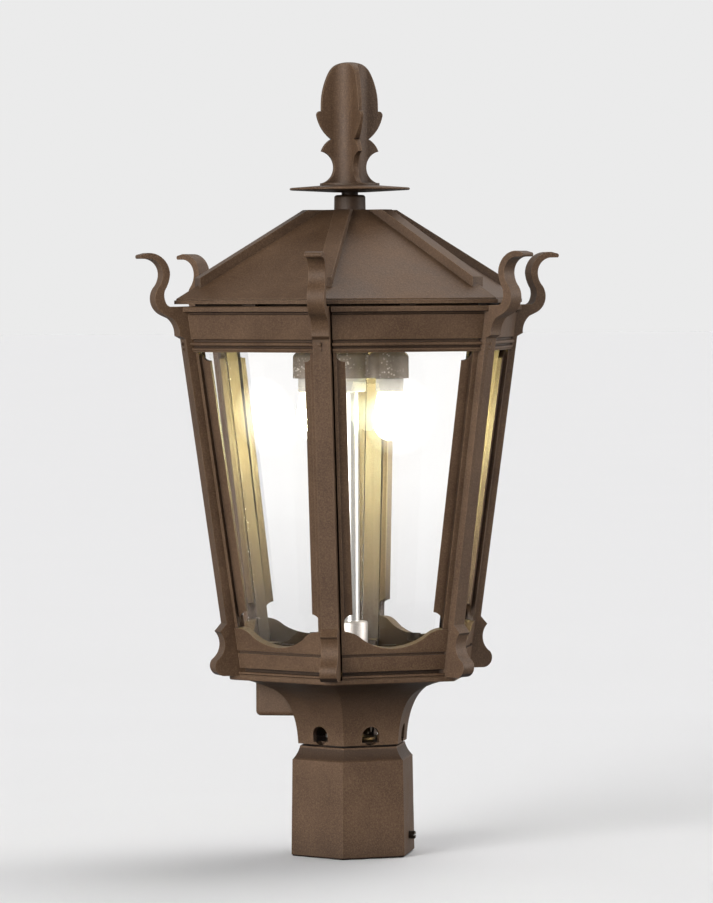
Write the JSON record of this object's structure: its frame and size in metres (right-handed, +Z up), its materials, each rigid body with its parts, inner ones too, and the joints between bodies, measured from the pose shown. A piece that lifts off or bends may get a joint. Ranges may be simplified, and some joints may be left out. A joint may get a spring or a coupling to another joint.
{
  "type": "post top lantern",
  "caption": "Six-sided cast post top lantern with leaning glazed sides, scroll-horned corner posts, a low hipped roof, a finned finial and an inverted-mantle gas burner inside.",
  "frame": {"origin": "on the post's axis at the bottom rim of the collar", "axes": "+Z up along the post; +X to the right as the lantern is seen in the picture, +Y away from the viewer; corner posts at -90, -30, 30, 90, 150 and 210 degrees from +X"},
  "size_m": [0.2974, 0.336, 0.5959],
  "materials": {
    "bronze_casting": "dark bronze powder coat on sand-cast aluminium, fine grain",
    "pane_glass": "clear flat pane",
    "plated_steel": "plated, dull",
    "bright_aluminium": "turned, bright",
    "burner_casting": "grey casting, heat-dulled",
    "ceramic": "white unglazed ceramic",
    "mantle_cloth": "brittle white mesh, glows when lit",
    "brass": "machined, dull"
  },
  "bodies": {
    "base": {"base_bell": "bronze_casting", "base_plate": "bronze_casting", "bell_screws": "plated_steel", "bridge_bar": "plated_steel", "bridge_screws": "plated_steel", "burner_manifold": "burner_casting", "collar_set_screws": "plated_steel", "control_box": "bronze_casting", "corner_bolts": "plated_steel", "frame_screws": "plated_steel", "gas_cock_body": "brass", "gas_seat": "brass", "glass_back_left": "pane_glass", "glass_back_right": "pane_glass", "glass_clips": "plated_steel", "glass_front_left": "pane_glass", "glass_front_right": "pane_glass", "glass_left": "pane_glass", "glass_right": "pane_glass", "mantle_left": "mantle_cloth", "mantle_right": "mantle_cloth", "mixer": "bright_aluminium", "mixer_nut": "bright_aluminium", "nozzle_left": "ceramic", "nozzle_right": "ceramic", "orifice": "brass", "plate_screws": "plated_steel", "post_collar": "bronze_casting", "side_frame_back_left": "bronze_casting", "side_frame_back_right": "bronze_casting", "side_frame_front_left": "bronze_casting", "side_frame_front_right": "bronze_casting", "side_frame_left": "bronze_casting", "side_frame_right": "bronze_casting", "tie_nuts": "plated_steel", "tie_rod": "plated_steel", "tube_union": "burner_casting", "venturi_tube": "bright_aluminium"},
    "roof_top": {"roof": "bronze_casting", "disc_spacer": "bronze_casting", "cap_disc": "bronze_casting"},
    "finial": {"finial": "bronze_casting"},
    "shutter": {"air_shutter": "bright_aluminium"},
    "cock_plug": {"gas_cock_plug": "brass"}
  },
  "joints": [
    {"name": "roof_lift", "type": "slide", "parent": "base", "child": "roof_top", "axis": [0, 0, 1], "range_m": [0, 0.11]},
    {"name": "finial_turn", "type": "hinge", "parent": "roof_top", "child": "finial", "pos_m": [0, 0, 0.5033], "axis": [0, 0, 1], "continuous": true},
    {"name": "air_shutter_turn", "type": "hinge", "parent": "base", "child": "shutter", "pos_m": [0, 0, 0.122], "axis": [0, 0, 1], "range_deg": [0, 90]},
    {"name": "gas_cock_turn", "type": "hinge", "parent": "base", "child": "cock_plug", "pos_m": [0, 0, 0.097], "axis": [1, 0, 0], "range_deg": [0, 90]}
  ]
}
